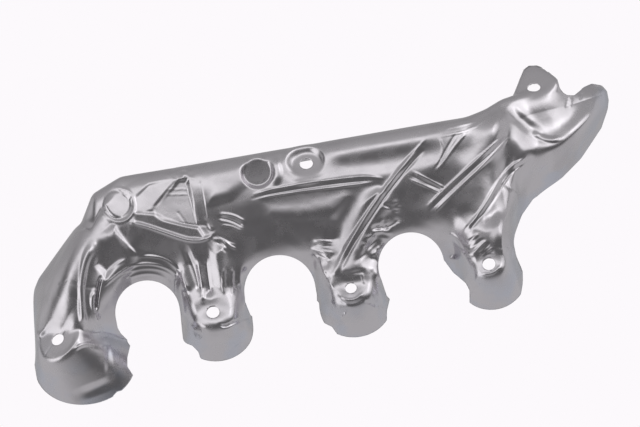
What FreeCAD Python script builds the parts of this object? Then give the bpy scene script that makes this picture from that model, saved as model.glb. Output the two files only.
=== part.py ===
import FreeCAD, Part
import math
import os
from FreeCAD import Vector

# Pressed exhaust heat shield, one sheet. Millimetres, X along the row of legs, Y away from
# them, Z up. Sizes count X from the bolt hole of the second leg, and the finished part has its
# origin at the third leg's, on the plane of the bosses.

# Sheet and rim. Forms are drawn down to under_z and cut at the rim; cutters are as large as room.
sheet = 0.8
rim_z = -36.0
under_z = -60.0
room = 1200.0

# Bolt holes
port_pitch = 111.8
bolt_r = 5.25
locating_r = 4.6
end_bolt = Vector(-125.8, 0.0, 0.0)
end_tilt = 16.0
crown_bolt = Vector(93.8, 101.5, 37.5)
crown_tilt = 3.0
ear_tilt = 12.0
hole_reach = 12.0

# Legs: a drafted cup with a half-round ridge behind it
cup_r = 28.5
cup_top_r = 20.5
cup_y = 5.0
cup_lip = 3.0
cup_shift = 1.0
last_cup_r = 25.0
last_cup_shift = 0.5
ridge_r = 23.0
ridge_low_z = 2.0
ridge_slope = 0.36
ridge_reach = 88.0
ridge_flare = 4.5
boss_r = 9.5
end_boss_r = 15.0
boss_flare = 35.0
pocket_tall = 40.0

# Boss in the roof, on a pad that stands a little above the slope
crown_r = 12.5
crown_rim_r = 15.0
crown_pad_deep = 20.0
crown_pad_spread = 4.0

# End leg, wider and leaning
end_foot = Vector(-114.5, -3.0, rim_z)
end_cup_r = 38.0
end_cup_top_r = 19.0

# Roof of the long part, as a section across it
roof_left = -55.0
roof_right = 225.0
foot_y = 28.0
shoulder_y = 40.0
shoulder_z = 13.0
shoulder_r = 25.0
slope_mid_y = 78.0
slope_mid_z = 34.5
crest_y = 118.0
crest_z = 47.5
crest_r = 15.0
back_y = 147.0

# Sections that close the roof's left end and shape its outlet hood. Each gives its distance past
# the straight part, front foot, shoulder and its radius, middle of the slope, crest and its
# radius, and back foot.
left_sections = [
    (38, 38, (49, -2), 12, (72, 9), (98, 19), 8, 115),
    (25, 32, (44, 9), 18, (77, 27), (112, 38), 11, 136),
]
outlet_sections = [
    (18, 34, (52, 9), 16, (84, 29), (127, 41), 14, 153),
    (32, 68, (80, 5), 12, (98, 16), (139, 33), 14, 164),
    (60, 91, (101, -3), 8, (116, 7), (150, 23), 14, 180),
    (81, 107, (115, -10), 8, (128, 12), (152, 14), 12, 183),
    (110, 142, (149, -15), 5, (156, -9), (166, -11), 6, 181),
    (119, 156, (161, -21), 2, (164, -19), (168, -20), 2, 177),
]

# Sections of the bend from the end leg into the roof: crest of the ridge, heading, radius and
# flare of the side walls at the rim
bend_sections = [
    (Vector(-120, 8, 6), Vector(-0.15, -1, 0), 23, 2),
    (Vector(-105, 44, 21), Vector(-0.7, -1, 0), 27, 17),
    (Vector(-80, 68, 28), Vector(-1, -0.6, 0), 27, 21),
    (Vector(-45, 80, 29), Vector(-1, -0.1, 0), 23, 8.5),
]
ridge_turn = 0.66

# Ear of the outlet end: its bolt, its outline from the bolt in the leaning plane, and the gap
# left open in the back wall below it
ear_bolt = Vector(roof_right + 59.7, 152.8, 16.0)
ear_outline = [(-16.7, -21), (-16.7, 0), (-5.1, 16.2), (-0.7, 18.6), (5.7, 17.5), (13.3, 11),
               (19.9, 7), (20.6, -3.7), (22.3, -21)]
gap_left = 17.7
gap_right = 22.3
gap_y = 150.0

# Pressed details: raised swages with flat tops and round dimples, by their plan positions
swage_base = 7.0
swage_top = 2.4
swage_high = 1.8
swage_sunk = 4.0
swages = [((44, 84), (132, 84)), ((142, 58), (188, 101)), ((180, 50), (220, 84))]
dimple_r = 10.0
dimple_deep = 1.4
dimples = [(-60, 91), (54.6, 99)]

# Arches between the legs, cut square to a plane that leans back: a circle, and the sides of the
# slot below it
cut_lean = 36.0
slot_low = -90.0
arch_1_u = -51.8
arch_1_w = 8.6
arch_1_r = 25.8
arch_1_sides = [(-77.6, 0), (-70, -14), (-70, slot_low), (-29, slot_low), (-28, -17)]
arch_2_u = 55.5
arch_2_w = 7.7
arch_2_r = 28.5
arch_2_sides = [(31, -14), (31, slot_low), (81, slot_low), (81, -18)]
arch_3_u = 162.5
arch_3_w = 9.5
arch_3_r = 26.5
arch_3_sides = [(139.5, -14), (139.5, slot_low), (204, slot_low), (203, -12), (195, -7)]


def corner_wire(points, radii):
    """Closed flat wire through the points, each corner rounded by its own radius."""
    count = len(points)
    starts = []
    ends = []
    arcs = []
    for i in range(count):
        corner = points[i]
        if radii[i] == 0:
            starts.append(corner)
            ends.append(corner)
            arcs.append(None)
            continue
        back = (points[i - 1] - corner).normalize()
        ahead = (points[(i + 1) % count] - corner).normalize()
        half = back.getAngle(ahead) / 2
        run = radii[i] / math.tan(half)
        top = corner + (back + ahead).normalize() * (radii[i] / math.sin(half) - radii[i])
        starts.append(corner + back * run)
        ends.append(corner + ahead * run)
        arcs.append(Part.Arc(starts[i], top, ends[i]).toShape())
    edges = []
    for i in range(count):
        if arcs[i]:
            edges.append(arcs[i])
        edges.append(Part.makeLine(ends[i], starts[(i + 1) % count]))
    return Part.Wire(edges)


def shrunk(points, depth, normal):
    """The polygon moved inwards by depth, in its own plane."""
    count = len(points)
    moved = []
    for i in range(count):
        before = (points[i] - points[i - 1]).normalize()
        after = (points[(i + 1) % count] - points[i]).normalize()
        in_before = normal.cross(before)
        in_after = normal.cross(after)
        scale = depth / (1 + in_before.dot(in_after))
        moved.append(points[i] + (in_before + in_after) * scale)
    return moved


def roof_wire(x, foot, shoulder, s_r, middle, crest, c_r, back, inward):
    """Section across the roof at x: front wall, shoulder, slope, crest and back wall."""
    front_low = foot - (shoulder[0] - foot) * (rim_z - under_z) / (shoulder[1] - rim_z)
    back_low = back + (back - crest[0]) * (rim_z - under_z) / (crest[1] - rim_z)
    points = [
        Vector(x, front_low, under_z),
        Vector(x, back_low, under_z),
        Vector(x, crest[0], crest[1]),
        Vector(x, middle[0], middle[1]),
        Vector(x, shoulder[0], shoulder[1]),
    ]
    points = shrunk(points, inward, Vector(1, 0, 0))
    return corner_wire(points, [0, 0, c_r - inward, 0, s_r - inward])


def slope_z(y):
    """Height of the upper part of the roof's slope at y."""
    return slope_mid_z + (y - slope_mid_y) * (crest_z - slope_mid_z) / (crest_y - slope_mid_y)


def roof(inward):
    """Long roof with its rounded left end and the outlet hood at the right."""
    middle = (slope_mid_y, slope_mid_z)
    slope = ((shoulder_y, shoulder_z), shoulder_r, middle, (crest_y, crest_z))
    wires = []
    for past, *shape in left_sections:
        x = roof_left - min(past, left_sections[0][0] - inward)
        wires.append(roof_wire(x, *shape, inward))
    for x in (roof_left, roof_right):
        wires.append(roof_wire(x, foot_y, *slope, crest_r, back_y, inward))
    for past, *shape in outlet_sections:
        x = roof_right + min(past, outlet_sections[-1][0] - inward)
        wires.append(roof_wire(x, *shape, inward))
    return Part.makeLoft(wires, True, True)


def ridge_wire(crest, heading, radius, foot_out, inward):
    """Rounded section with flared side walls, square to the heading, its top at the crest."""
    side = Vector(-heading.y, heading.x, 0).normalize()
    up = side.cross(heading).normalize()
    if up.z < 0:
        up = -up
    depth = crest.z - under_z
    wide = radius + foot_out * (depth - radius) / (crest.z - rim_z - radius)
    points = [
        crest + side * wide - up * depth,
        crest - side * wide - up * depth,
        crest - side * radius,
        crest + side * radius,
    ]
    points = shrunk(points, inward, (points[1] - points[0]).cross(up).normalize())
    turn = radius * ridge_turn - inward
    return corner_wire(points, [0, 0, turn, turn])


def cup(foot, foot_r, top, top_r, inward):
    """Drafted cup from the rim up to a bolt boss, its lip bevelled."""
    axis = (top - foot).normalize()
    tall = (top - foot).Length
    grow = (foot_r - top_r) / tall
    wall = inward * math.sqrt(1 + grow * grow)
    deep = (rim_z - under_z) / axis.z
    low = foot - axis * deep
    lip = cup_lip - inward * 0.5
    main = tall + deep - inward - lip
    low_r = foot_r + grow * deep - wall
    side_r = low_r - grow * main
    body = Part.makeCone(low_r, side_r, main, low, axis)
    bevel = Part.makeCone(side_r, side_r - lip, lip, low + axis * main, axis)
    return body.fuse(bevel)


def leg(x, shift, foot_r, inward):
    """One leg: the cup around the bolt and the ridge rising into the roof."""
    top_r = foot_r - (cup_r - cup_top_r)
    foot = Vector(x + shift, cup_y, rim_z)
    part = cup(foot, foot_r, Vector(x + shift, cup_y, 0), top_r, inward)
    heading = Vector(0, 1, ridge_slope)
    crest = Vector(x + shift, 0, ridge_low_z) + heading * (cup_y + inward)
    section = ridge_wire(crest, heading, ridge_r + foot_r - cup_r, ridge_flare, inward)
    ridge = Part.Face(section).extrude(heading * (ridge_reach - cup_y - 2 * inward))
    return part.fuse(ridge)


def pocket(point, axis, radius, inward):
    """Flared hollow whose floor is the flat boss around a bolt hole."""
    wall = inward / math.cos(math.radians(boss_flare))
    spread = math.tan(math.radians(boss_flare))
    low_r = radius + wall - inward * spread
    high_r = low_r + pocket_tall * spread
    return Part.makeCone(low_r, high_r, pocket_tall, point - axis * inward, axis)


def leaning(angle, about):
    """Upright direction turned by an angle about an axis."""
    return FreeCAD.Rotation(about, angle).multVec(Vector(0, 0, 1))


def end_leg(inward):
    """Wide end leg leaning left, and the bend that carries it into the roof."""
    part = cup(end_foot, end_cup_r, end_bolt, end_cup_top_r, inward)
    wires = []
    for crest, heading, radius, flare in bend_sections:
        start = bend_sections[0][0].y + inward
        stop = bend_sections[-1][0].x - inward
        place = Vector(min(crest.x, stop), max(crest.y, start), crest.z)
        wires.append(ridge_wire(place, heading, radius, flare, inward))
    return part.fuse(Part.makeLoft(wires, True, True))


def skin_point(body, x, y):
    """Highest point of a form above a plan position."""
    post = Part.makeLine(Vector(x, y, rim_z), Vector(x, y, room)).common(body)
    return max([v.Point for v in post.Vertexes], key=lambda p: p.z)


def swage(start, end, inward):
    """Straight raised swage between two points on the skin, with sloping sides and ends."""
    along = (end - start).normalize()
    side = along.cross(Vector(0, 0, 1)).normalize()
    up = side.cross(along).normalize()
    steep = (swage_base - swage_top) / 2 / swage_high
    wires = []
    for level in (-swage_sunk, swage_high - inward):
        grow = (swage_high - level) * steep - inward * (1 + steep)
        half = swage_top / 2 + grow
        reach = along * (half - swage_top / 2)
        low = start - reach + up * level
        high = end + reach + up * level
        ring = [low + side * half, low - side * half, high - side * half, high + side * half]
        wires.append(Part.makePolygon(ring + ring[:1]))
    return Part.makeLoft(wires, True, True)


def form(inward):
    """Solid whose skin is one face of the sheet, drawn in by the given depth."""
    body = roof(inward)
    body = body.fuse(leg(0, cup_shift, cup_r, inward))
    body = body.fuse(leg(port_pitch, cup_shift, cup_r, inward))
    body = body.fuse(leg(2 * port_pitch, last_cup_shift, last_cup_r, inward))
    body = body.fuse(end_leg(inward))
    plain = roof(0.0)
    for start, end in swages:
        body = body.fuse(swage(skin_point(plain, *start), skin_point(plain, *end), inward))
    for x, y in dimples:
        normal = Vector(0, slope_mid_z - crest_z, crest_y - slope_mid_y).normalize()
        bottom = Vector(x, y, slope_z(y)) - normal * dimple_deep
        body = body.cut(pocket(bottom, normal, dimple_r, inward))
    crown_axis = leaning(-crown_tilt, Vector(1, 0, 0))
    pad = Part.makeCone(crown_rim_r + crown_pad_spread - inward, crown_rim_r - inward,
                        crown_pad_deep - inward, crown_bolt - crown_axis * crown_pad_deep, crown_axis)
    body = body.fuse(pad)
    body = body.cut(pocket(crown_bolt, crown_axis, crown_r, inward))
    end_axis = leaning(-end_tilt, Vector(0, 1, 0))
    body = body.cut(pocket(end_bolt, end_axis, end_boss_r, inward))
    for i in range(3):
        body = body.cut(pocket(Vector(i * port_pitch, 0, 0), Vector(0, 0, 1), boss_r, inward))
    return body


def leaned(shape):
    """The shape turned from upright to square with the leaning plane."""
    shape.rotate(Vector(0, 0, 0), Vector(1, 0, 0), cut_lean)
    return shape


def prism(outline):
    """Prism over an outline in the leaning plane, right through the part."""
    corners = [Vector(u, w, -room / 2) for u, w in outline + outline[:1]]
    return leaned(Part.Face(Part.makePolygon(corners)).extrude(Vector(0, 0, room)))


def arch(u, w, radius, sides):
    """Cutter for one arch: a round top and a slot that follows the leg rims down."""
    round_top = leaned(Part.makeCylinder(radius, room, Vector(u, w, -room / 2)))
    return round_top.fuse(prism([(u - radius, w)] + sides + [(u + radius, w)]))


def ear():
    """Flat ear of the outlet end, around its bolt hole."""
    lean = math.radians(cut_lean)
    bolt_w = ear_bolt.y * math.cos(lean) + ear_bolt.z * math.sin(lean)
    outline = [(ear_bolt.x + u, bolt_w + w) for u, w in ear_outline]
    slab = Part.makeBox(room, room, sheet, Vector(-room / 2, -room / 2, -sheet))
    slab.rotate(Vector(0, 0, 0), Vector(1, 0, 0), -ear_tilt)
    slab.translate(ear_bolt)
    return prism(outline).common(slab)


def hole(point, axis, radius):
    """Bolt hole through a boss."""
    return Part.makeCylinder(radius, 2 * hole_reach, point - axis * hole_reach, axis)


above = Part.makeBox(room, room, room, Vector(-room / 2, -room / 2, rim_z))
shield = form(0.0).cut(form(sheet)).common(above)
shield = shield.cut(arch(arch_1_u, arch_1_w, arch_1_r, arch_1_sides))
shield = shield.cut(arch(arch_2_u, arch_2_w, arch_2_r, arch_2_sides))
shield = shield.cut(arch(arch_3_u, arch_3_w, arch_3_r, arch_3_sides))
gap_corner = Vector(ear_bolt.x - gap_left, gap_y, -room / 2)
shield = shield.cut(Part.makeBox(gap_left + gap_right, room, room, gap_corner))
shield = shield.fuse(ear())

up = Vector(0, 0, 1)
shield = shield.cut(hole(end_bolt, leaning(-end_tilt, Vector(0, 1, 0)), bolt_r))
shield = shield.cut(hole(Vector(0, 0, 0), up, bolt_r))
shield = shield.cut(hole(Vector(port_pitch, 0, 0), up, locating_r))
shield = shield.cut(hole(Vector(2 * port_pitch, 0, 0), up, bolt_r))
shield = shield.cut(hole(crown_bolt, leaning(-crown_tilt, Vector(1, 0, 0)), bolt_r))
shield = shield.cut(hole(ear_bolt, leaning(-ear_tilt, Vector(1, 0, 0)), bolt_r))
shield.translate(Vector(-port_pitch, 0, 0))

os.makedirs("parts", exist_ok=True)
shield.exportStep("parts/heat_shield.step")
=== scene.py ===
import math

import bmesh
import bpy
import numpy as np
from mathutils import Matrix, Vector
from mathutils.bvhtree import BVHTree


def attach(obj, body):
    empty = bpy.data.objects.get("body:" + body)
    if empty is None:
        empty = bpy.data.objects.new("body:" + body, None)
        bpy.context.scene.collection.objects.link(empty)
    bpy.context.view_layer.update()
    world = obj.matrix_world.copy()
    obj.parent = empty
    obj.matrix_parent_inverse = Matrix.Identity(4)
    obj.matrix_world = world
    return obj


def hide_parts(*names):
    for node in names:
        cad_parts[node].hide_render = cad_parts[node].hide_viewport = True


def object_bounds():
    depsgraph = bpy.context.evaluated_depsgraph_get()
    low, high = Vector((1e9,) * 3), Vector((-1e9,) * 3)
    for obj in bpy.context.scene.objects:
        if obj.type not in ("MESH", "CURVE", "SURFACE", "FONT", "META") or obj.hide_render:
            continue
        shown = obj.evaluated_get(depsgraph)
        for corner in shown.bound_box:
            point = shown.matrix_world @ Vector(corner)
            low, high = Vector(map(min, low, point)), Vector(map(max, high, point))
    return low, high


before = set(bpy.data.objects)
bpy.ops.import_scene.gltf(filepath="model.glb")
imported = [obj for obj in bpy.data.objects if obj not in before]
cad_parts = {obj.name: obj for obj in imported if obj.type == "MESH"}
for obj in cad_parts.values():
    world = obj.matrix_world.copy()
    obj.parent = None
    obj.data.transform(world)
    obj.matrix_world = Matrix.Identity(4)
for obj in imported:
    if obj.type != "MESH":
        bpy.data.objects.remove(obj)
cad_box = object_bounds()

# The camera stands in front of the legs and looks down on them through a long lens, rolled so
# that the row of bolts climbs to the right. The press tool closed along almost the same line,
# so the sheet's marks are placed on the plane that faces it.
PORT_PITCH = 0.1118
LEAN = math.radians(54)
UP_SLOPE = Vector((0, math.sin(LEAN), math.cos(LEAN)))
OUTWARD = Vector((0, -math.cos(LEAN), math.sin(LEAN)))
ROLL = math.radians(9.9)
PIXEL = 0.798e-3
PICTURE = (640, 427)
LEG_2_PIXEL = (213.0, 312.4)
LENS = 600.0
SENSOR = 36.0
CLIP_END = 60
right = Vector((1, 0, 0)) * math.cos(ROLL) - UP_SLOPE * math.sin(ROLL)
upright = Vector((1, 0, 0)) * math.sin(ROLL) + UP_SLOPE * math.cos(ROLL)
middle = (Vector((-PORT_PITCH, 0, 0)) + right * ((PICTURE[0] / 2 - LEG_2_PIXEL[0]) * PIXEL)
          - upright * ((PICTURE[1] / 2 - LEG_2_PIXEL[1]) * PIXEL))
lens = bpy.data.cameras.new("camera")
lens.lens = LENS
lens.sensor_width = SENSOR
lens.clip_end = CLIP_END
camera = bpy.data.objects.new("camera", lens)
bpy.context.scene.collection.objects.link(camera)
camera.location = middle + OUTWARD * (PIXEL * PICTURE[0] * LENS / SENSOR)
camera.rotation_mode = "QUATERNION"
camera.rotation_quaternion = Matrix((right, upright, OUTWARD)).transposed().to_quaternion()
bpy.context.scene.camera = camera

# The blank: one thin sheet of aluminised steel drawn over a form tool, so that legs, roof, bend
# and outlet run into each other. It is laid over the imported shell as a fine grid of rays, level
# with the tool's stroke in front and fanned round a core line inside the form at the back.
COLUMNS = 540
FRONT_ROWS = 158
FAN_ROWS = 80
LEFT_END = -0.1545
RIGHT_END = 0.3475
CORE_WIDTH = 14
FAN_TOP = 126
FAN_EVEN = 104
FAN_END = -60
FAR = 0.3
PAST_CORE = 0.03
STRAY = 0.004
GAP = (0.267, 0.323)
GAP_TURN = 26
GROWN_NODES = 7
GROWN_SLOPE = 0.003
MERGED = 1e-5
TINY = 1e-9
front_x = [-0.155, 0.245, 0.258, 0.300, 0.348]
front_low = [-0.060, -0.044, 0.016, 0.046, 0.098]
spine_x = [-0.155, -0.145, -0.130, -0.115, -0.100, -0.080, -0.055, -0.030, 0.225, 0.243, 0.257,
           0.270, 0.285, 0.306, 0.335, 0.348]
spine_y = [-0.005, 0.000, 0.015, 0.028, 0.046, 0.078, 0.102, 0.112, 0.112, 0.122, 0.134, 0.143,
           0.148, 0.150, 0.163, 0.171]
spine_z = [-0.042, -0.036, -0.025, -0.012, -0.002, 0.004, 0.007, 0.007, 0.007, 0.003, -0.002,
           -0.006, -0.010, -0.014, -0.024, -0.030]
ROWS = FRONT_ROWS + FAN_ROWS

shell = bmesh.new()
shell.from_mesh(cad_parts["heat_shield"].data)
bmesh.ops.remove_doubles(shell, verts=shell.verts, dist=MERGED)
skin = BVHTree.FromBMesh(shell)
shell.free()

x = np.linspace(LEFT_END, RIGHT_END, COLUMNS)


def bell(width):
    """Weights of a bell curve, and how many of them lie on either side of its middle."""
    span = int(math.ceil(width * 3))
    return span, np.exp(-0.5 * (np.arange(-span, span + 1) / width) ** 2)


def rounded(line):
    """Takes the corners off a row of values, so that no crease follows from them."""
    span, weights = bell(CORE_WIDTH)
    return np.convolve(np.pad(line, span, "edge"), weights / weights.sum(), "valid")


core_y = rounded(np.interp(x, spine_x, spine_y))
core_z = rounded(np.interp(x, spine_x, spine_z))
core_w = core_y * UP_SLOPE.y + core_z * UP_SLOPE.z
core_h = core_y * OUTWARD.y + core_z * OUTWARD.z
low = np.interp(x, front_x, front_low)
front_w = low + (core_w - low) * np.linspace(0, 1, FRONT_ROWS, endpoint=False)[:, None]
fan_share = np.linspace(0, 1, FAN_ROWS)
fan_turn = FAN_TOP - FAN_EVEN * fan_share - (FAN_TOP - FAN_END - FAN_EVEN) * fan_share ** 2
angle = np.radians(fan_turn)[:, None]
start = np.zeros((ROWS, COLUMNS, 3))
along = np.zeros_like(start)
start[..., 0] = x
start[:FRONT_ROWS, :, 1] = front_w * UP_SLOPE.y + core_h * OUTWARD.y
start[:FRONT_ROWS, :, 2] = front_w * UP_SLOPE.z + core_h * OUTWARD.z
along[:FRONT_ROWS] = OUTWARD
start[FRONT_ROWS:, :, 1] = core_y
start[FRONT_ROWS:, :, 2] = core_z
along[FRONT_ROWS:, :, 1] = np.cos(angle)
along[FRONT_ROWS:, :, 2] = np.sin(angle)

row_turn = np.concatenate((np.full(FRONT_ROWS, float(FAN_TOP)), fan_turn))
reach = np.full((ROWS, COLUMNS), np.nan)
for j in range(ROWS):
    for i in range(COLUMNS):
        ray = Vector(along[j, i])
        foot = Vector(start[j, i])
        foot.x -= PORT_PITCH
        hit = skin.ray_cast(foot + ray * FAR, -ray, FAR + PAST_CORE)
        open_gap = GAP[0] < x[i] < GAP[1] and row_turn[j] < GAP_TURN
        if hit[0] is not None and not open_gap and (j < FRONT_ROWS or FAR - hit[3] > STRAY):
            reach[j, i] = FAR - hit[3]


def grow(reach):
    """Carries the skin on past its trimmed edges, in line with what is there."""
    for _ in range(GROWN_NODES):
        total = np.zeros_like(reach)
        count = np.zeros_like(reach)
        for axis in (0, 1):
            for way in (1, -1):
                near = np.roll(reach, way, axis)
                beyond = np.roll(reach, 2 * way, axis)
                guess = near + np.clip(near - beyond, -GROWN_SLOPE, GROWN_SLOPE)
                wrapped = [slice(None), slice(None)]
                wrapped[axis] = slice(0, 2) if way == 1 else slice(-2, None)
                guess[tuple(wrapped)] = np.nan
                good = ~np.isnan(guess)
                total[good] += guess[good]
                count += good
        fill = np.isnan(reach) & (count > 0)
        reach = np.where(fill, total / np.maximum(count, 1), reach)
    return reach


def soften(reach, width):
    """Rounds the folds of the sheet over a width in nodes, leaving out what was never reached."""
    span, weights = bell(width)
    known = ~np.isnan(reach)
    value = np.where(known, reach, 0.0)
    share = known.astype(float)
    for axis in (0, 1):
        pad = [(0, 0), (0, 0)]
        pad[axis] = (span, span)
        wide_value = np.pad(value, pad)
        wide_share = np.pad(share, pad)
        value = np.zeros_like(value)
        share = np.zeros_like(share)
        for k, weight in enumerate(weights):
            part = [slice(None), slice(None)]
            part[axis] = slice(k, k + reach.shape[axis])
            value += weight * wide_value[tuple(part)]
            share += weight * wide_share[tuple(part)]
    return np.where(known, value / np.maximum(share, TINY), np.nan)


reach = grow(reach)

# Outlet hood: the deepest draw of the same sheet, a rounded nose over a steep wall. Its skin
# bends like a thin plate through points of the tool, each a pixel of the photograph and a height
# in millimetres over the leaning plane.
HOOD_SKIN = [
    (524, 163, -46), (540, 154, -47), (556, 149, -51), (572, 137, -59), (586, 125, -68),
    (597, 113, -78), (604, 97, -93), (605, 87, -104),
    (544, 172, -63), (559, 166, -67), (583, 146, -79), (602, 121, -93), (530, 184, -60),
    (516, 234, -58), (523, 215, -68), (535, 199, -76), (561, 181, -85), (584, 158, -96),
    (605, 127, -109), (613, 99, -118), (612, 89, -120), (604, 82, -115),
    (548, 136, -56), (560, 131, -61), (574, 120, -69), (586, 108, -80), (594, 97, -92),
    (545, 120, -61), (560, 115, -66), (572, 107, -76), (584, 97, -88), (592, 88, -100),
    (520, 103, -61), (535, 101, -64.5), (550, 99, -68), (562, 96, -75), (575, 95, -86),
    (508, 112, -53), (508, 126, -48), (510, 140, -44), (512, 155, -41), (515, 170, -42),
    (517, 185, -48), (517, 200, -54), (518, 215, -60), (524, 124, -56),
]
HOOD_OUTLINE = [(512, 106), (514, 130), (517, 160), (518, 190), (514, 225), (560, 260), (680, 200),
                (680, 60), (600, 60), (575, 80), (563, 92), (552, 99), (530, 102)]
HOOD_EDGE = 0.005
HOOD_LEFT = 0.243
HOOD_LAST_TURN = 50
HOOD_GUESS = 0.02
HOOD_TRIES = 14
HOOD_EASE = 0.7
HOOD_LEAST = 0.02
PLATE_UNIT = 10
PRESSED_WIDTH = 2.0
FARAWAY = 1e9
MM = 1e-3


def on_plane(pixels):
    """Places on the leaning plane, in metres from the second leg, of pixels of the photograph."""
    dx = np.array([p[0] - LEG_2_PIXEL[0] for p in pixels]) * PIXEL
    dy = np.array([LEG_2_PIXEL[1] - p[1] for p in pixels]) * PIXEL
    turn, lift = math.cos(ROLL), math.sin(ROLL)
    return np.stack((dx * turn + dy * lift, dy * turn - dx * lift), axis=1)


def across_plane(spots):
    """How far up the leaning plane places lie, in metres from the row of bolts."""
    return spots[..., 1] * UP_SLOPE.y + spots[..., 2] * UP_SLOPE.z


def above_plane(spots):
    """How far places stand above the leaning plane."""
    return spots[..., 1] * OUTWARD.y + spots[..., 2] * OUTWARD.z


def smooth(share):
    """Eases a share of 0 to 1 in and out."""
    share = np.clip(share, 0, 1)
    return share * share * (3 - 2 * share)


def inside(u, w, outline):
    """Distance in metres from a closed outline, positive within it."""
    near = np.full(u.shape, FARAWAY)
    within = np.zeros(u.shape, bool)
    for (ax, ay), (bx, by) in zip(outline, np.roll(outline, -1, axis=0)):
        ex, ey = bx - ax, by - ay
        t = np.clip(((u - ax) * ex + (w - ay) * ey) / (ex * ex + ey * ey), 0, 1)
        near = np.minimum(near, np.hypot(u - ax - t * ex, w - ay - t * ey))
        if ey:
            between = (ay > w) != (by > w)
            within ^= between & (u < (w - ay) * ex / ey + ax)
    return np.where(within, near, -near)


def bent_plate(gap):
    """Stiffness of a thin plate at a distance from a point that holds it."""
    return gap * gap * np.log(np.maximum(gap, TINY))


held = on_plane(HOOD_SKIN) * PLATE_UNIT
held_h = np.array([p[2] for p in HOOD_SKIN]) * MM
count = len(held)
plate = np.zeros((count + 3, count + 3))
plate[:count, :count] = bent_plate(np.hypot(*(held[:, None] - held[None]).transpose(2, 0, 1)))
plate[:count, count] = plate[count, :count] = 1
plate[:count, count + 1:] = held
plate[count + 1:, :count] = held.T
pull = np.linalg.solve(plate, np.concatenate((held_h, np.zeros(3))))


def hood_height(u, w):
    """Height of the hood's skin over the leaning plane."""
    total = pull[count] + pull[count + 1] * u * PLATE_UNIT + pull[count + 2] * w * PLATE_UNIT
    for (hu, hw), force in zip(held, pull):
        total = total + force * bent_plate(np.hypot(u * PLATE_UNIT - hu, w * PLATE_UNIT - hw))
    return total


rows, columns = np.nonzero((x[None, :] > HOOD_LEFT) & (row_turn[:, None] > HOOD_LAST_TURN))
foot = start[rows, columns]
ray = along[rows, columns]
now = reach[rows, columns]
lift = np.where(np.isnan(now), HOOD_GUESS, now)
for _ in range(HOOD_TRIES):
    spot = foot + ray * lift[:, None]
    spot_w = across_plane(spot)
    lift = lift + HOOD_EASE * (hood_height(spot[:, 0], spot_w) - above_plane(spot))
share = smooth(0.5 + inside(spot[:, 0], spot_w, on_plane(HOOD_OUTLINE)) / HOOD_EDGE)
mixed = now + (lift - now) * share
fresh_skin = np.where(share > HOOD_LEAST, lift, np.nan)
reach[rows, columns] = np.where(np.isnan(now), fresh_skin, mixed)
reach = soften(reach, PRESSED_WIDTH)

# Drawn forms: above the bolt bosses the sheet is rounded far more than the shell is, because it
# was drawn over soft corners. The bend, legs two and three and the throat have no flat at all,
# and the bosses run out into the legs. Widths are in nodes of the sheet, edges in millimetres.
# Marks fade out over the crest. Behind it the sheet is plain, and its grid is thinned.
DRAWN = [(24, 330), (60, 318), (100, 320), (122, 268), (150, 252), (185, 270), (192, 296), (236, 296),
         (252, 250), (285, 235), (318, 262), (330, 274), (372, 274), (385, 235), (412, 222),
         (450, 240), (466, 252), (510, 252), (520, 215), (560, 200), (620, 120), (600, 70),
         (520, 100), (440, 110), (200, 145), (90, 185), (24, 280)]
DRAWN_WIDTH = 6.5
DRAWN_EDGE = 9
ROOF_BOLT = (304.6, 163.8)
ROOF_BOLT_FLAT = 0.014
ROOF_BOLT_EDGE = 0.006
ROUND = [
    [(34, 330), (36, 280), (55, 238), (92, 198), (128, 225), (122, 250), (100, 268), (92, 300),
     (88, 322), (60, 330)],
    [(184, 238), (250, 238), (240, 296), (192, 296)],
    [(462, 150), (478, 118), (520, 104), (536, 120), (530, 160), (520, 205), (482, 215), (462, 185)],
    [(446, 212), (452, 150), (470, 116), (506, 104), (514, 130), (516, 165), (510, 212), (486, 224)],
    [(318, 225), (345, 190), (385, 180), (395, 215), (380, 262), (328, 262)],
]
ROUND_WIDTH = 15
ROUND_EDGE = 14
BOSSES = [
    [(182, 290), (240, 286), (250, 316), (238, 336), (200, 338), (184, 318)],
    [(316, 275), (374, 270), (380, 300), (364, 316), (332, 314), (318, 296)],
    [(450, 258), (514, 250), (516, 280), (500, 294), (470, 292), (452, 276)],
]
BOSS_WIDTH = 4.5
BOSS_EDGE = 6
HIDDEN_FROM = [-0.100, -0.085]
HIDDEN_TURN = [0, 46]
FADE_START = 18
FADE_SPAN = 16

points = start + along * reach[..., None]
place_u = points[..., 0]
place_w = across_plane(points)
steep = above_plane(along)
foot_h = above_plane(start)
hidden_turn = np.interp(x, HIDDEN_FROM, HIDDEN_TURN)
seen = np.clip((row_turn[:, None] - hidden_turn - FADE_START) / FADE_SPAN, 0, 1)


def within(pixels, soft):
    """Share of each node inside an outline, fading over a soft edge in millimetres."""
    edge = inside(np.nan_to_num(place_u), np.nan_to_num(place_w), on_plane(pixels))
    return smooth(0.5 + edge / (soft * MM)) * seen


def round_off(outlines, width, soft, share=1.0):
    """Rounds the folds of the sheet within outlines."""
    for outline in outlines:
        reach[...] += np.nan_to_num((soften(reach, width) - reach) * within(outline, soft) * share)


bolt_u, bolt_w = on_plane([ROOF_BOLT])[0]
from_bolt = np.hypot(place_u - bolt_u, place_w - bolt_w)
clear_of_bolt = smooth((from_bolt - ROOF_BOLT_FLAT) / ROOF_BOLT_EDGE)
round_off([DRAWN], DRAWN_WIDTH, DRAWN_EDGE, clear_of_bolt)
round_off(ROUND, ROUND_WIDTH, ROUND_EDGE)
round_off(BOSSES, BOSS_WIDTH, BOSS_EDGE)

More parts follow.
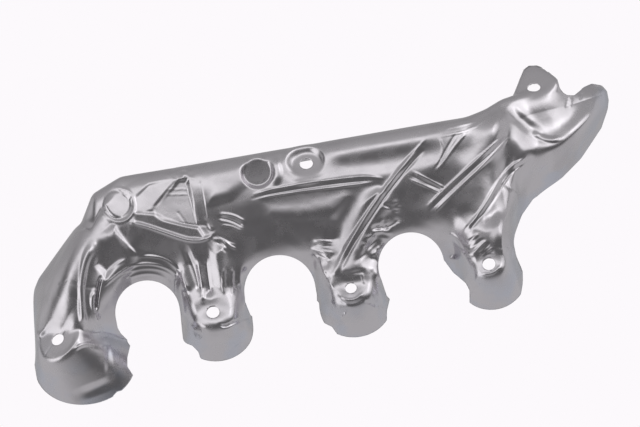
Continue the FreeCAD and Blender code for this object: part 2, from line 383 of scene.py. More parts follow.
# Roof: a long slope that bellies and hollows by a millimetre or two, with flat facets where it
# meets the legs. All of it is pressed in the one stroke, as every bead and groove below is. A
# bead is its line, width and height. A facet is its outline, soft edge, two tilts and lift.
HOLLOWS = [
    ([(322, 170), (350, 166), (400, 158), (452, 146)], 28, -1.7),
    ([(256, 216), (300, 214), (345, 204)], 46, 1.9),
    ([(408, 214), (430, 192), (456, 170)], 34, -1.8),
    ([(196, 196), (222, 186), (246, 178)], 30, 1.4),
    ([(452, 160), (474, 140), (500, 120)], 30, 1.6),
    ([(74, 326), (72, 300), (77, 272), (90, 247), (110, 226)], 34, 2.5),
    ([(226, 248), (224, 275), (222, 300)], 26, 2.0),
    ([(508, 200), (504, 228), (500, 252)], 22, 4.5),
    ([(352, 270), (364, 235), (392, 190)], 24, 4.0),
]
ROOF_FACETS = [
    ([(206, 178), (238, 168), (243, 182), (228, 195), (210, 200)], 13, 0.02, -0.42, 0.0),
    ([(266, 203), (345, 190), (350, 196), (334, 212), (300, 214), (270, 213)], 15, 0.0, -0.33, 0.0),
    ([(377, 193), (366, 195), (351, 203), (337, 221), (331, 240), (342, 250), (354, 235), (369, 210)],
     15, 0.34, -0.27, 0.5),
    ([(460, 154), (466, 134), (484, 122), (500, 119), (504, 130), (496, 148), (480, 162), (468, 166)],
     13, 0.05, -0.42, 0.0),
    ([(512, 124), (522, 136), (530, 150), (526, 164), (512, 176), (502, 180), (506, 160), (508, 142)],
     12, 0.0, -0.10, 0.0),
]
THROAT = [(446, 172), (454, 124), (500, 106), (544, 130), (540, 172), (504, 206), (470, 190)]
THROAT_WIDTH = 5
THROAT_EDGE = 10
BEAD_END = (1.5, 0.12)
BEAD_LEAST = 0.25
LEAST_STEEP = 0.5


def curved(line):
    """The line with its corners cut twice, as a bead bends."""
    for _ in range(2):
        cut = [line[0]]
        for a, b in zip(line[:-1], line[1:]):
            cut += [a * 0.75 + b * 0.25, a * 0.25 + b * 0.75]
        line = np.array(cut + [line[-1]])
    return line


def from_line(line, reach_out):
    """Nodes near a line, each with its distance from it and how far along it lies."""
    near = ((place_u > line[:, 0].min() - reach_out) & (place_u < line[:, 0].max() + reach_out)
            & (place_w > line[:, 1].min() - reach_out) & (place_w < line[:, 1].max() + reach_out))
    rows, columns = np.nonzero(near)
    u, w = place_u[rows, columns], place_w[rows, columns]
    best = np.full(u.shape, FARAWAY)
    share = np.zeros(u.shape)
    side = np.zeros(u.shape)
    lengths = np.hypot(*np.diff(line, axis=0).T)
    done = 0.0
    for (a, b), length in zip(zip(line[:-1], line[1:]), lengths):
        ex, ey = (b - a) / length
        t = np.clip((u - a[0]) * ex + (w - a[1]) * ey, 0, length)
        away = np.hypot(u - a[0] - t * ex, w - a[1] - t * ey)
        closer = away < best
        best[closer] = away[closer]
        share[closer] = done + t[closer]
        side[closer] = np.sign(ex * (w[closer] - a[1]) - ey * (u[closer] - a[0]))
        done += length
    return rows, columns, best, share, done, side


def bead(lines):
    """Rounded beads and, with a height below zero, grooves. Widths and heights in millimetres."""
    for pixels, width, height in lines:
        line = curved(on_plane(pixels))
        half = width * MM / 2
        rows, columns, away, share, length, _ = from_line(line, half)
        shape = 0.5 + 0.5 * np.cos(np.pi * np.clip(away / half, 0, 1))
        end = max(half * BEAD_END[0], length * BEAD_END[1])
        fade = np.clip(np.minimum(share, length - share) / end, 0, 1)
        shape *= BEAD_LEAST + (1 - BEAD_LEAST) * fade * fade * (3 - 2 * fade)
        reach[rows, columns] += height * MM * shape * seen[rows, columns]


def settle(share, tilt_u, tilt_w, lift, centre):
    """Presses a flat, tilted place into the sheet where share is 1, from its centre pixel."""
    u, w = on_plane([centre])[0]
    height = foot_h + steep * reach
    away = np.hypot(place_u - u, place_w - w) + np.where(steep > LEAST_STEEP, 0, 1)
    middle = height.flat[np.nanargmin(away)] + lift * MM
    flat = middle + tilt_u * (place_u - u) + tilt_w * (place_w - w)
    reach[...] += (flat - height) / np.maximum(steep, LEAST_STEEP) * share


def facet(pixels, soft, tilt_u, tilt_w, lift):
    """A flat facet within an outline."""
    centre = tuple(np.mean(pixels, axis=0))
    settle(within(pixels, soft), tilt_u, tilt_w, lift, centre)


bead(HOLLOWS)
for spot in ROOF_FACETS:
    facet(*spot)
round_off([THROAT], THROAT_WIDTH, THROAT_EDGE)

# End leg and bend: a half-round channel turned a quarter circle in the sheet, with two smaller
# channels on its inner side, a step where two tool halves met, and a small tear beside them.
BEND_BEADS = [
    ([(93.9, 248.1), (85.1, 264.2), (81.5, 284.8), (81.5, 302.4), (83.7, 325.8)], 8, 2.20),
    ([(93.9, 290.6), (91.7, 302.4), (95.4, 317), (99.8, 325.8)], 6, 1.80),
    ([(52.1, 287), (77.8, 286.2), (99.8, 288.4)], 1.6, -0.35),
    ([(100.5, 277.4), (97.6, 290.6), (95.7, 311.2)], 4, -2.50),
]
bead(BEND_BEADS)

# End cup: the wide skirt of the end leg, the deepest part of the front edge, with a ledge beside
# its bolt boss and a long shallow dent.
CUP_MARKS = [
    ([(74.9, 349.3), (82.2, 344.2), (93.9, 344.2), (102.7, 347.8)], 5, 1.20),
    ([(78, 395), (95, 389), (114, 381)], 13, -1.50),
    ([(33.8, 374.2), (45.5, 390.4)], 4, 0.60),
    ([(107.1, 343.4), (109.3, 375.7)], 8, -0.80),
]
bead(CUP_MARKS)

# First arch: stepped ribs that are pressed along its edge and stiffen it, and the double bead
# that ties them to the roof.
ARCH_RIBS = [
    ([(102.7, 273), (113, 265.7), (126.2, 259.1)], 3, 0.70),
    ([(139.4, 256.9), (149.7, 256.1), (164.4, 258.3), (177.6, 268.6), (184.9, 281.8),
      (187.8, 293.6)], 3.2, 0.80),
    ([(104.2, 286.2), (118.9, 273), (133.6, 264.9), (149.7, 263.5), (165.8, 267.1), (177.6, 275.9),
      (184.2, 287.7)], 3.2, 0.80),
    ([(118.9, 278.9), (133.6, 269.8), (149.7, 267.9), (164.4, 270.8), (174.6, 278.9),
      (180.5, 290.6)], 2.6, 0.50),
    ([(124.8, 280.3), (136.5, 274.8), (149.7, 273.3), (161.4, 275.9), (171.7, 284.8)], 3, 0.60),
]
TIE_BEADS = [
    ([(104.9, 234.9), (131.4, 257.6)], 3, 0.80),
    ([(110.8, 227.5), (136.5, 255.4)], 3, 0.80),
]
bead(ARCH_RIBS)
bead(TIE_BEADS)

# Plateau: the flat facets of the roof's left part, above a sharp edge that drops to the arch. The
# round spot at its end is pressed flat inside a raised ring, and the sheet is pinched behind it.
PLATEAU_EDGE = [
    ([(112, 221), (131, 221.5), (147, 226.5), (161, 231.6), (179, 238), (190, 241), (203, 240.5),
      (212, 232)], 21, 19, 4.0),
]
PLATEAU_FACETS = [
    ([(97, 264), (101, 242), (114, 229), (134, 256), (120, 262), (106, 276)], 8, 0.0, -0.04, 0.0),
    ([(133, 200), (148, 184), (172, 178), (175, 181), (165, 193), (154, 208), (152, 210), (137, 212)],
     2.5, 0.02, -0.47, 0.0),
    ([(178, 180), (187, 179), (199, 227), (185, 225), (165, 219), (155, 214), (154, 209), (166, 195)],
     2.5, -0.10, -0.33, -0.8),
    ([(133, 213), (154, 214), (164, 220), (182, 225), (198, 228), (204, 238), (190, 238), (162, 230),
      (135, 222)], 2.5, 0.0, -0.16, 0.0),
]
PINCH = ([(168, 167), (194, 167), (194, 178), (168, 177)], 9, 10, 0.9, 10, 3)
END_SPOT = (116.5, 205)
END_RING = (14.2, 3.4, 0.9)
END_FLAT = (10.6, 1.4, -0.08, -0.42, 1.2)
END_GROOVE = (11.6, 1.6, -0.6)
PLATEAU_MARKS = [
    ([(132.1, 222.7), (147.4, 226.5), (161.4, 231.6), (179.3, 238), (189.5, 240.6), (201, 240.6),
      (208.6, 238), (215, 231.6)], 4.5, 1.10),
    ([(185.7, 179.3), (198.4, 226.5)], 3.2, 1.20),
    ([(199.7, 179.3), (206.1, 221.4)], 2.6, -0.70),
    ([(175.5, 180.6), (152.5, 208.7)], 3.4, -0.80),
    ([(153.8, 213.8), (161.4, 219.5), (181.8, 224), (198.4, 226.5)], 2.6, -0.60),
    ([(176.7, 211.2), (181.8, 217.6), (186.9, 225.3)], 1.8, -0.40),
    ([(166.5, 189.5), (186.9, 188.3)], 1.6, 0.20),
    ([(166.5, 194.6), (187.6, 194)], 1.6, 0.20),
]
FOLD_END = (0.006, 0.2)
CREASE_TURN = 38
CREASE_BEND = 0.25
CREASE_SIDES = (0.26, 0.18)
CREASE_SHORTEST = 0.5
CREASE_LOWEST = 0.4


def fold(lines):
    """Ridges and valleys with straight sides, of their own width on the left and the right."""
    for pixels, left, right_side, height in lines:
        line = curved(on_plane(pixels))
        widest = max(left, right_side) * MM
        rows, columns, away, share, length, side = from_line(line, widest)
        width = np.where(side > 0, left, right_side) * MM
        shape = np.clip(1 - away / width, 0, 1)
        end = max(FOLD_END[0], length * FOLD_END[1])
        fade = np.clip(np.minimum(share, length - share) / end, 0, 1)
        shape *= fade * fade * (3 - 2 * fade)
        reach[rows, columns] += height * MM * shape * seen[rows, columns]


def disc(centre, radius, soft, tilt_u, tilt_w, lift):
    """A flat round spot, its radius and soft edge in millimetres."""
    u, w = on_plane([centre])[0]
    away = np.hypot(place_u - u, place_w - w) / MM
    settle(smooth(0.5 + (radius - away) / soft) * seen, tilt_u, tilt_w, lift, centre)


def ring(centre, radius, width, height):
    """A raised ring, or a groove with a height below zero, round a pixel, in millimetres."""
    u, w = on_plane([centre])[0]
    away = np.hypot(place_u - u, place_w - w) / MM - radius
    shape = 0.5 + 0.5 * np.cos(np.pi * np.clip(abs(away) / width * 2, 0, 1))
    reach[...] += np.nan_to_num(height * MM * shape * seen)


def crumple(pixels, creases, size, height, turn, seed):
    """Short sharp creases, of a size in pixels and about one direction in degrees."""
    chance = np.random.default_rng(seed)
    low, high = np.min(pixels, axis=0), np.max(pixels, axis=0)
    outline = np.array(pixels, float)
    while creases:
        px, py = chance.uniform(low, high)
        way = math.radians(turn + chance.uniform(-CREASE_TURN, CREASE_TURN))
        half = size * chance.uniform(CREASE_SHORTEST, 1.0)
        tall = height * chance.uniform(CREASE_LOWEST, 1.0) * chance.choice((-1, 1))
        if inside(np.array([px]), np.array([py]), outline)[0] < 0:
            continue
        dx, dy = half * math.cos(way), -half * math.sin(way)
        bend = chance.uniform(-CREASE_BEND, CREASE_BEND)
        line = [(px - dx, py - dy), (px + dy * bend, py - dx * bend), (px + dx, py + dy)]
        fold([(line, size * CREASE_SIDES[0], size * CREASE_SIDES[1], tall)])
        creases -= 1


fold(PLATEAU_EDGE)
for spot in PLATEAU_FACETS:
    facet(*spot)
crumple(*PINCH)
ring(END_SPOT, *END_RING)
disc(END_SPOT, *END_FLAT)
ring(END_SPOT, *END_GROOVE)
bead(PLATEAU_MARKS)

# Legs two, three and four: half-round ridges that gather the sheet towards each bolt. Where there
# was too much sheet for the leg, it crumpled beside the ridge and beside the boss.
LEG_2_FLANK = ([(207, 248), (221, 250), (222, 290), (208, 292)], 12, 0.46, -0.12, 0.0)
LEG_2_MARKS = [
    ([(218.8, 217.6), (231.6, 220.2), (243.1, 226.5)], 3.4, -1.00),
    ([(220.1, 213.8), (232.9, 215.1), (244.3, 221.4)], 3.4, 0.90),
    ([(221.4, 225.3), (231.6, 226.5), (241.8, 231.6)], 3, 0.60),
    ([(217.6, 241.8), (225.2, 252)], 2.4, -0.80),
    ([(222.7, 239.3), (229, 245.7), (236.7, 249.5)], 3, 0.80),
    ([(218.8, 235.5), (227.8, 240.6), (236.7, 243.1)], 2.6, -0.60),
    ([(223.3, 268.6), (222.9, 282.7), (223.9, 294.1)], 2.2, 0.70),
    ([(227.1, 267.3), (226.7, 282.7), (227.8, 294.1)], 2, -0.60),
    ([(232.2, 268.6), (231.6, 282.7), (232.9, 295.4)], 2.6, 0.90),
    ([(236, 269.9), (235.4, 282.7), (236.7, 290.3)], 2, -0.50),
    ([(240.5, 269.9), (239.5, 278.8), (240.5, 285.2)], 2.4, 0.80),
    ([(205.4, 259.7), (207.3, 277.6), (210.5, 296.7)], 6, -1.30),
    ([(198.4, 259.7), (200.3, 277.6), (202.9, 301.8)], 6, 1.20),
    ([(184.4, 246.9), (192, 264.8), (198.4, 283.9), (201, 294.1)], 8, -1.60),
    ([(220.1, 324.7), (225.2, 326.7), (236.7, 320.9), (252, 316.5)], 3.4, -2.20),
    ([(231.6, 347.7), (243.1, 338.8)], 4, -0.80),
    ([(202.2, 328.6), (202.9, 349)], 4, 0.80),
]
LEG_3_MARKS = [
    ([(335.3, 272.5), (345.7, 247.7), (385, 187.5), (420, 147)], 6, 1.60),
    ([(339.9, 272.5), (351.6, 247.7), (390.2, 188.8), (422.9, 150.9)], 3.4, -1.00),
    ([(314.4, 241.1), (332.7, 241.4)], 2.6, 0.80),
    ([(314.4, 245), (332.7, 246.4)], 2.4, -0.60),
    ([(311.7, 249), (322.2, 251.6), (332.7, 252.9)], 3.2, 0.90),
    ([(315.7, 254.2), (323.5, 258.1), (330, 262)], 3.4, -1.00),
    ([(319.6, 260.7), (326.1, 277.7), (332.7, 286.9)], 3, 0.90),
    ([(317, 264.7), (323.5, 280.3)], 2.4, -0.60),
    ([(339.2, 296), (345.7, 300), (354.9, 300), (362.7, 293.4)], 3.4, 0.90),
    ([(340.5, 300), (347, 304.5), (356.2, 303.9), (364, 298.6)], 3, -0.80),
    ([(365.3, 301.3), (387.6, 310.4)], 3.0, -1.80),
    ([(346.4, 311.7), (336.6, 328.7)], 4, 1.80),
    ([(361.4, 271.2), (364, 284.3)], 2.6, 0.70),
]
LEG_CRUMPLES = [
    ([(202, 224), (217, 224), (217, 240), (203, 240)], 8, 9, 0.9, -40, 5),
    ([(184, 318), (205, 322), (205, 334), (186, 345)], 9, 16, 0.8, -60, 7),
    ([(322, 290), (344, 294), (342, 318), (326, 318)], 9, 16, 0.8, -60, 9),
    ([(459, 262), (477, 264), (476, 288), (458, 284)], 9, 16, 0.8, -60, 11),
    ([(352, 262), (372, 232), (395, 201), (403, 207), (390, 240), (374, 268), (358, 276)],
     26, 12, 1.3, 10, 13),
]
facet(*LEG_2_FLANK)
bead(LEG_2_MARKS)
bead(LEG_3_MARKS)
for creases in LEG_CRUMPLES:
    crumple(*creases)

# Middle of the roof: the long double bead above the second arch, and the round spot pressed flat
# beside it, with a raised crescent on its right.
CRESCENT = ([(271, 157), (277, 165), (278, 175), (273, 186)], 11, 1.7)
MIDDLE_SPOT = (257, 172)
MIDDLE_FLAT = (12.2, 3.0, 0.03, -0.19, -2.4)
ROW_BEAD = [
    ([(254.2, 194.1), (272.5, 188.8), (311.7, 182.3), (345.7, 177.7), (366.7, 175.8),
      (382.3, 178.4)], 3, 0.90),
    ([(251.6, 198.6), (272.5, 193.7), (311.7, 186.9), (345.7, 182.3), (371.9, 180.3)], 2.6, -0.70),
    ([(258.1, 198), (293.4, 192.1), (345.7, 186.2), (370.6, 182.6)], 3, 0.80),
]
bead([CRESCENT])
disc(MIDDLE_SPOT, *MIDDLE_FLAT)
bead(ROW_BEAD)

# Right part: long beads and short ribs that stiffen the sheet between leg three and the outlet,
# the gathers above leg four, and the creases of the throat and the hood.
OUTLET_MARKS = [
    ([(414, 171.9), (444.7, 187.7)], 2.6, 0.80),
    ([(411.9, 175.6), (443.1, 190.5)], 2, -0.70),
    ([(409.9, 179.4), (441.4, 193.1)], 2.6, 0.80),
    ([(466.3, 131.3), (438.1, 169.4)], 2.4, 0.70),
    ([(456.3, 133), (444.7, 152.9), (434.8, 169.4)], 2.4, -0.70),
    ([(439.7, 137.9), (444.7, 149.5), (436.4, 166.1)], 2.4, 0.60),
    ([(444.7, 128.8), (476.2, 118)], 1.8, 0.40),
    ([(439.7, 136.3), (463, 131.3), (487.8, 118)], 1.8, 0.40),
    ([(390, 184.4), (406.6, 159.5), (426.5, 137.9)], 2, 0.50),
    ([(428.1, 205.9), (444.7, 189.3), (482.9, 154.5), (506.1, 133.8)], 3, 1.00),
    ([(429.8, 210.9), (448, 192.6), (486.2, 157.8), (507.7, 136.3)], 2.4, -0.90),
    ([(433.1, 214.2), (451.3, 195.1), (489.5, 159.5), (508.6, 138.8)], 3, 0.90),
    ([(464.6, 230.8), (482.9, 209.2), (497.8, 182.7), (509.4, 167.8), (526, 157.8)], 4, 1.10),
    ([(469.6, 230.8), (487.8, 209.2), (502.8, 186), (512.7, 171.1), (527.6, 161.1)], 2.6, -0.80),
    ([(502.8, 181.9), (512.7, 189.3), (522.6, 196)], 2.8, 0.90),
    ([(512.7, 205.9), (504.4, 219.2), (501.1, 239.1), (502.8, 255.7)], 2.8, 0.90),
    ([(515.7, 205.9), (508.1, 219.2), (504.7, 240.7), (506.9, 256.5)], 2.2, -0.70),
    ([(519.3, 205.9), (511.9, 219.2), (508.6, 242.4), (511, 257.3)], 2.8, 0.80),
    ([(466.3, 244), (477.9, 234.1)], 2.4, 0.90),
    ([(470.4, 249), (482.9, 239.1)], 2.4, -0.80),
    ([(474.6, 252.3), (486.2, 240.7)], 2.4, 0.90),
    ([(478.7, 254), (489.5, 244)], 2.2, -0.70),
    ([(482.9, 255.7), (492.8, 247.4)], 2.2, 0.70),
    ([(449.7, 232.4), (459.6, 240.7), (467.9, 252.3)], 3.2, 1.00),
    ([(454.7, 242.4), (461.3, 252.3), (467.9, 262.3)], 3, 0.80),
    ([(453, 235.8), (463, 249), (469.6, 259)], 2.4, -0.80),
    ([(481.2, 273.9), (492.8, 273.9), (501.1, 265.6)], 3.4, 0.90),
    ([(471.2, 293.8), (481.2, 280.5)], 3.4, -1.60),
    ([(512.7, 263.9), (511.9, 292.1)], 2, 0.40),
    ([(507, 106), (522.6, 121.3), (541, 134.5)], 14, -1.50),
    ([(532.6, 131.3), (549.2, 139.6), (562.4, 137.9)], 7, 1.20),
    ([(570.7, 95.6), (568.2, 107.3)], 2, -0.60),
    ([(574, 97.3), (572.4, 107.3)], 2, 0.50),
    ([(584.8, 91.5), (583.2, 99)], 2, -0.50),
]
bead(OUTLET_MARKS)

# Trimming: the arches, the rims that stand on the bench, the ear and the bolt holes are cut
# through the sheet after pressing. An arch is the centre and radius of its round top and the
# outline below it, in metres on the leaning plane. A hole is its bolt's place, axis and radius.
RIM = -0.036
FOLD_OVER = 0.0007
CLEARANCE = 0.0001
HOLE_DEPTH = 0.012
WELL_CLEAR = 1.0
SNAP = 0.22
ARCHES = [
    (-0.0518, 0.0086, 0.0258,
     [(-0.0776, 0.0009), (-0.0760, -0.0040), (-0.0696, -0.0135), (-0.0739, -0.0240),
      (-0.0750, -0.0310), (-0.0716, -0.0390), (-0.0734, -0.0444), (-0.0806, -0.0488),
      (-0.0864, -0.0494), (-0.0900, -0.0520), (-0.0900, -0.0900), (-0.0139, -0.0900),
      (-0.0139, -0.0378), (-0.0165, -0.0340), (-0.0172, -0.0290), (-0.0210, -0.0235),
      (-0.0256, -0.0210), (-0.0282, -0.0174), (-0.0260, 0.0040)]),
    (0.0555, 0.0077, 0.0285,
     [(0.0266, 0.0038), (0.0287, -0.0070), (0.0307, -0.0100), (0.0302, -0.0220),
      (0.0263, -0.0300), (0.0162, -0.0373), (0.0162, -0.0900), (0.0957, -0.0900),
      (0.0957, -0.0366), (0.0915, -0.0278), (0.0820, -0.0213), (0.0810, -0.0187),
      (0.0840, -0.0006)]),
    (0.1625, 0.0095, 0.0265,
     [(0.1364, 0.0065), (0.1390, -0.0110), (0.1410, -0.0140), (0.1370, -0.0230),
      (0.1356, -0.0306), (0.1306, -0.0360), (0.1220, -0.0388), (0.1220, -0.0900),
      (0.2068, -0.0900), (0.2068, -0.0358), (0.2030, -0.0300), (0.2048, -0.0180),
      (0.2030, -0.0120), (0.1990, -0.0070), (0.1948, -0.0020)]),
]
OUTLET_END = [
    (0.2430, -0.0383), (0.2478, -0.0226), (0.2498, -0.0100), (0.2466, 0.0028), (0.2462, 0.0134),
    (0.2488, 0.0200), (0.2575, 0.0340), (0.2687, 0.0450), (0.2916, 0.0556), (0.3128, 0.0705),
    (0.3336, 0.0920), (0.3412, 0.1060), (0.3434, 0.1130), (0.3434, 0.1210), (0.3400, 0.1260),
    (0.3320, 0.1287), (0.3260, 0.1273), (0.3160, 0.1217), (0.3106, 0.1227), (0.3077, 0.1248),
    (0.3053, 0.1293), (0.3046, 0.1390), (0.3020, 0.1436), (0.2980, 0.1440), (0.2940, 0.1490),
    (0.2904, 0.1508), (0.2840, 0.1516), (0.2796, 0.1492), (0.2735, 0.1400), (0.2699, 0.1355),
    (0.2634, 0.1309), (0.2520, 0.1275), (0.2400, 0.1260), (0.2400, 0.2000), (0.4000, 0.2000),
    (0.4000, -0.0900), (0.2430, -0.0900),
]
HOLES = [
    ((-0.1258, 0.0, 0.0), (-0.2756, 0.0, 0.9613), 0.00525),
    ((0.0, 0.0, 0.0), (0.0, 0.0, 1.0), 0.00525),
    ((PORT_PITCH, 0.0, 0.0), (0.0, 0.0, 1.0), 0.0046),
    ((2 * PORT_PITCH, 0.0, 0.0), (0.0, 0.0, 1.0), 0.00525),
    ((0.0938, 0.1015, 0.0375), (0.0, 0.0523, 0.9986), 0.00525),
    ((0.2847, 0.1528, 0.0160), (0.0, 0.2079, 0.9781), 0.00525),
]
# The back rim has a shallow scallop below the roof's bolt, which shows as daylight in its hole.
SCALLOP_X = 0.0938
SCALLOP_FROM = 0.130
SCALLOP_HALF = 0.032
SCALLOP_TALL = 0.030


def outside(points, outline):
    """Distance from a closed outline on the leaning plane, negative within it."""
    return -inside(points[:, 0], across_plane(points), outline)


def beyond_arch(points, arch):
    """Positive on the sheet, negative in the opening of an arch."""
    centre_u, centre_w, radius, outline = arch
    round_top = np.hypot(points[:, 0] - centre_u, across_plane(points) - centre_w) - radius
    legs = [(centre_u - radius, centre_w)] + outline + [(centre_u + radius, centre_w)]
    return np.minimum(round_top, outside(points, legs))


def beyond_hole(points, hole):
    """Positive on the sheet, negative in a bolt hole."""
    bolt, axis, hole_radius = hole
    axis = np.array(axis)
    from_bolt = points - np.array(bolt)
    height = from_bolt @ axis
    radius = np.linalg.norm(from_bolt - height[:, None] * axis, axis=1)
    return np.where(abs(height) < HOLE_DEPTH, radius - hole_radius, WELL_CLEAR)


def under_roof_bolt(points):
    """Positive on the sheet, negative in the scallop of the back rim."""
    across = (points[:, 0] - SCALLOP_X) / SCALLOP_HALF
    rise = (points[:, 2] - RIM) / SCALLOP_TALL
    edge = (np.hypot(across, rise) - 1) * SCALLOP_TALL
    return np.where(points[:, 1] > SCALLOP_FROM, edge, WELL_CLEAR)


def trim(sheet, keep):
    """Cuts the sheet along the line where keep is zero and drops the negative side."""
    sheet.verts.index_update()
    value = keep(np.array([v.co for v in sheet.verts]))
    if value.min() > 0:
        return
    fresh = []
    for edge in sheet.edges:
        a, b = edge.verts
        fa, fb = value[a.index], value[b.index]
        if fa * fb < 0:
            part = fa / (fa - fb)
            if min(part, 1 - part) < SNAP:
                vert = a if part < 0.5 else b
                vert.co = a.co.lerp(b.co, part)
                value[vert.index] = 0.0
                fresh.append(vert)
    for edge in [e for e in sheet.edges if value[e.verts[0].index] * value[e.verts[1].index] < 0]:
        a, b = edge.verts
        part = value[a.index] / (value[a.index] - value[b.index])
        fresh.append(bmesh.utils.edge_split(edge, a, part)[1])
    kept = set(fresh)
    gone = [v for v in sheet.verts if v not in kept and value[v.index] < 0]
    bmesh.ops.connect_verts(sheet, verts=list(kept))
    bmesh.ops.delete(sheet, geom=gone, context="VERTS")


points = start + along * reach[..., None]
points[..., 2] = np.minimum(points[..., 2], cad_box[1][2] - CLEARANCE)
lost = np.isnan(reach)
sheet = bmesh.new()
bmesh.ops.create_grid(sheet, x_segments=COLUMNS - 1, y_segments=ROWS - 1, size=0.5)
grid = np.array([v.co for v in sheet.verts])
column = np.rint((grid[:, 0] + 0.5) * (COLUMNS - 1)).astype(int)
row = np.rint((grid[:, 1] + 0.5) * (ROWS - 1)).astype(int)
gone = []
behind = sheet.verts.layers.deform.verify()
for vert, i, j in zip(sheet.verts, column, row):
    if lost[j, i]:
        gone.append(vert)
    else:
        vert.co = points[j, i]
        if row_turn[j] < hidden_turn[i]:
            vert[behind][0] = 1.0
bmesh.ops.delete(sheet, geom=gone, context="VERTS")
for arch in ARCHES:
    trim(sheet, lambda p, a=arch: beyond_arch(p, a))
trim(sheet, lambda p: outside(p, OUTLET_END))
for hole in HOLES:
    trim(sheet, lambda p, h=hole: beyond_hole(p, h))
trim(sheet, lambda p: p[:, 2] - RIM - FOLD_OVER)
trim(sheet, lambda p: p[:, 0] - cad_box[0][0] - PORT_PITCH - FOLD_OVER)
trim(sheet, under_roof_bolt)
bmesh.ops.translate(sheet, verts=sheet.verts, vec=(-PORT_PITCH, 0, 0))

# Thickness and finish: 0.8 mm of aluminised steel, bright where it was rubbed by the tool and smoky
# where heat has touched it. Down the skirts its colour is tinted blue, a painted reflection of bluish
# light.
SHEET = 0.0008
TRIANGLES = 188000
TRIANGLES_A_SQUARE = 4
CLEAN = (0.648, 0.622, 0.655, 1)
SMOKY = (0.528, 0.505, 0.535, 1)
# Colour of the painted bluish reflection low on the skirts.
BLUE_REFLECTION = (0.58, 0.60, 0.69, 1)
SKIRT_TOP = 0.004
SKIRT_FULL = -0.022
mesh = bpy.data.meshes.new("pressed_sheet")
sheet.to_mesh(mesh)
sheet.free()
shield = bpy.data.objects.new("pressed_sheet", mesh)
bpy.context.scene.collection.objects.link(shield)
shield.vertex_groups.new(name="hidden")
wall = shield.modifiers.new("sheet_thickness", "SOLIDIFY")
wall.thickness = SHEET
wall.offset = -1
wall.use_even_offset = True
wall.thickness_clamp = 1.5
wall.shell_vertex_group = "hidden"
fewer = shield.modifiers.new("plain_underside", "DECIMATE")
fewer.vertex_group = "hidden"
fewer.ratio = min(1.0, TRIANGLES / (TRIANGLES_A_SQUARE * len(mesh.polygons)))
mesh.shade_smooth()


class Wire:
    """A socket of a material or of the room, which sums as a number does."""

    def __init__(self, tree, socket=None):
        self.tree = tree
        self.socket = socket

    def add(self, kind, settings, sockets, output=0):
        """Adds any node, its settings first, and gives one of its outputs."""
        node = self.tree.nodes.new(kind)
        for name, value in settings.items():
            if name == "stops":
                self.fill_ramp(node.color_ramp, value)
            else:
                setattr(node, name, value)
        for name, value in sockets.items():
            self.feed(node.inputs[name], value)
        return Wire(self.tree, node.outputs[output])

    def feed(self, socket, value):
        """Links a wire to a socket, or sets the socket to a plain value."""
        if isinstance(value, Wire):
            self.tree.links.new(value.socket, socket)
        else:
            socket.default_value = value

    def fill_ramp(self, ramp, stops):
        """Gives a ramp its greys, each at its place."""
        for _ in stops[2:]:
            ramp.elements.new(0.5)
        for element, (place, grey) in zip(ramp.elements, stops):
            element.position = place
            element.color = (grey, grey, grey, 1)

    def math(self, operation, first, second=0.0):
        """One step of arithmetic on wires or numbers."""
        return self.add("ShaderNodeMath", {"operation": operation}, {0: first, 1: second})

    def __add__(self, other):
        return self.math("ADD", self, other)

    __radd__ = __add__

    def __sub__(self, other):
        return self.math("SUBTRACT", self, other)

    def __rsub__(self, other):
        return self.math("SUBTRACT", other, self)

    def __mul__(self, other):
        return self.math("MULTIPLY", self, other)

    __rmul__ = __mul__

    def step(self, low, high):
        """Rises smoothly from 0 to 1 between two values."""
        return self.add("ShaderNodeMapRange", {"interpolation_type": "SMOOTHSTEP"},
                        {"Value": self, "From Min": low, "From Max": high})


steel = bpy.data.materials.new("aluminised_steel")
steel.use_nodes = True
shader = steel.node_tree.nodes["Principled BSDF"]
wire = Wire(steel.node_tree)
place = wire.add("ShaderNodeTexCoord", {}, {}, "Object")


def cloud(scale, detail):
    """Noise of a given number of spots to the metre."""
    return wire.add("ShaderNodeTexNoise", {}, {"Vector": place, "Scale": scale, "Detail": detail})


def blend(share, first, second):
    """Mixes two colours by the share of the second."""
    return wire.add("ShaderNodeMix", {"data_type": "RGBA"}, {0: share, 6: first, 7: second}, 2)


smoke = cloud(26, 4).step(0.46, 0.68)
rub = cloud(70, 5).step(0.40, 0.66)
grain = cloud(1500, 2)
waves = cloud(62, 1)
dents = cloud(170, 2)
height = wire.add("ShaderNodeSeparateXYZ", {}, {"Vector": place}, "Z")
# Painted reflection: low on the skirts the colour turns bluish, standing in for bluish light
# reflected there.
skirt_blue_reflection = (1 - height.step(SKIRT_FULL, SKIRT_TOP)) * cloud(38, 3).step(0.40, 0.62)
tone = blend(skirt_blue_reflection * 0.7, blend(smoke * 0.55, CLEAN, SMOKY), BLUE_REFLECTION)
roughness = 0.19 + rub * 0.07 + smoke * 0.05 + grain * 0.05
relief = waves * 0.9 + dents * 0.22 + grain * 0.012
bump = wire.add("ShaderNodeBump", {}, {"Height": relief, "Distance": 0.00030, "Strength": 1.0})
wire.feed(shader.inputs["Base Color"], tone)
wire.feed(shader.inputs["Roughness"], roughness)
wire.feed(shader.inputs["Normal"], bump)
shader.inputs["Metallic"].default_value = 1.0
mesh.materials.append(steel)
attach(shield, "root")
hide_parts("heat_shield")

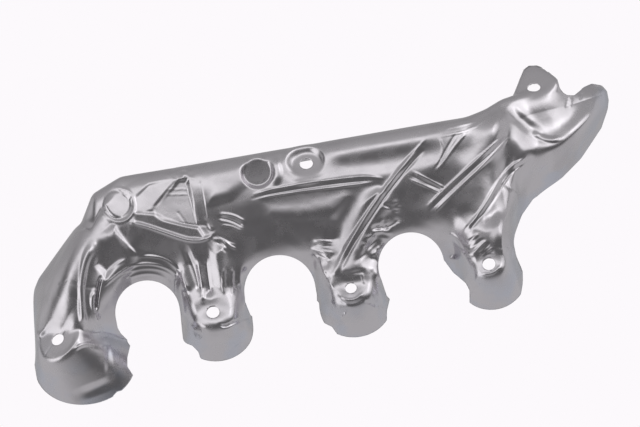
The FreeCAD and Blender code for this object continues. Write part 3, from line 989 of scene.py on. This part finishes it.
# Bench: a plain pale table that the rims stand on. It glows evenly, as the photograph's blank
# ground does, and doesn't show in the steel.
BENCH_HALF = 6
BENCH_GLOW = (0.974, 0.947, 0.974, 1)
bench = bmesh.new()
bmesh.ops.create_grid(bench, x_segments=1, y_segments=1, size=BENCH_HALF)
bmesh.ops.translate(bench, verts=bench.verts, vec=(0, 0, RIM))
bench_mesh = bpy.data.meshes.new("bench")
bench.to_mesh(bench_mesh)
bench.free()
floor = bpy.data.objects.new("bench", bench_mesh)
bpy.context.scene.collection.objects.link(floor)
pale = bpy.data.materials.new("pale_bench")
pale.use_nodes = True
paint = pale.node_tree.nodes["Principled BSDF"]
paint.inputs["Base Color"].default_value = (0, 0, 0, 1)
paint.inputs["Specular IOR Level"].default_value = 0.0
paint.inputs["Roughness"].default_value = 1.0
paint.inputs["Emission Color"].default_value = BENCH_GLOW
paint.inputs["Emission Strength"].default_value = 1.0
bench_mesh.materials.append(pale)
floor.visible_glossy = False

# Light: a room of soft panels round the length of the sheet, each a place in degrees from level
# in front, over the top, to the back, and its brightness. It is grey below, dark round the
# camera and bright overhead, with a dim wall and one bright panel at either end.
PANELS = [(-180, 0.36), (-60, 0.58), (-5, 0.56), (16, 0.34), (34, 0.17), (58, 0.12), (74, 0.13),
          (88, 0.42), (97, 1.22), (108, 1.12), (120, 0.50), (150, 0.42), (180, 0.36)]
PANEL_FULL = 2
WALL_LOW = 0.58
WALL_DROP = 0.46
LEFT_PANEL = (Vector((-0.80, -0.28, 0.55)).normalized(), 0.88, 0.95, 1.1)
RIGHT_PANEL = (Vector((0.77, 0.30, 0.57)).normalized(), 0.90, 0.97, 1.0)
room = bpy.data.worlds.new("studio")
room.use_nodes = True
glow = room.node_tree.nodes["Background"]
wire = Wire(room.node_tree)
facing = wire.add("ShaderNodeTexCoord", {}, {}, "Generated")
depth = wire.add("ShaderNodeSeparateXYZ", {}, {"Vector": facing}, "Y")
rise = wire.add("ShaderNodeSeparateXYZ", {}, {"Vector": facing}, "Z")
side = wire.add("ShaderNodeSeparateXYZ", {}, {"Vector": facing}, "X")
turn = wire.math("ARCTAN2", rise, -1 * depth) * (0.5 / math.pi) + 0.5
stops = [(angle / 360 + 0.5, power / PANEL_FULL) for angle, power in PANELS]
across = wire.add("ShaderNodeValToRGB", {"stops": stops}, {"Fac": turn})
ends = wire.math("ABSOLUTE", side).step(0.55, 0.85)
end_wall = WALL_LOW - WALL_DROP * rise.step(0.0, 0.35)
glare = across * PANEL_FULL * (1 - ends) + end_wall * ends
for aim, rim, full, power in (LEFT_PANEL, RIGHT_PANEL):
    toward = wire.add("ShaderNodeVectorMath", {"operation": "DOT_PRODUCT"}, {0: facing, 1: aim},
                      "Value")
    glare = glare + toward.step(rim, full) * power
wire.feed(glow.inputs["Color"], glare)
bpy.context.scene.world = room
bpy.context.scene.view_settings.view_transform = "Standard"
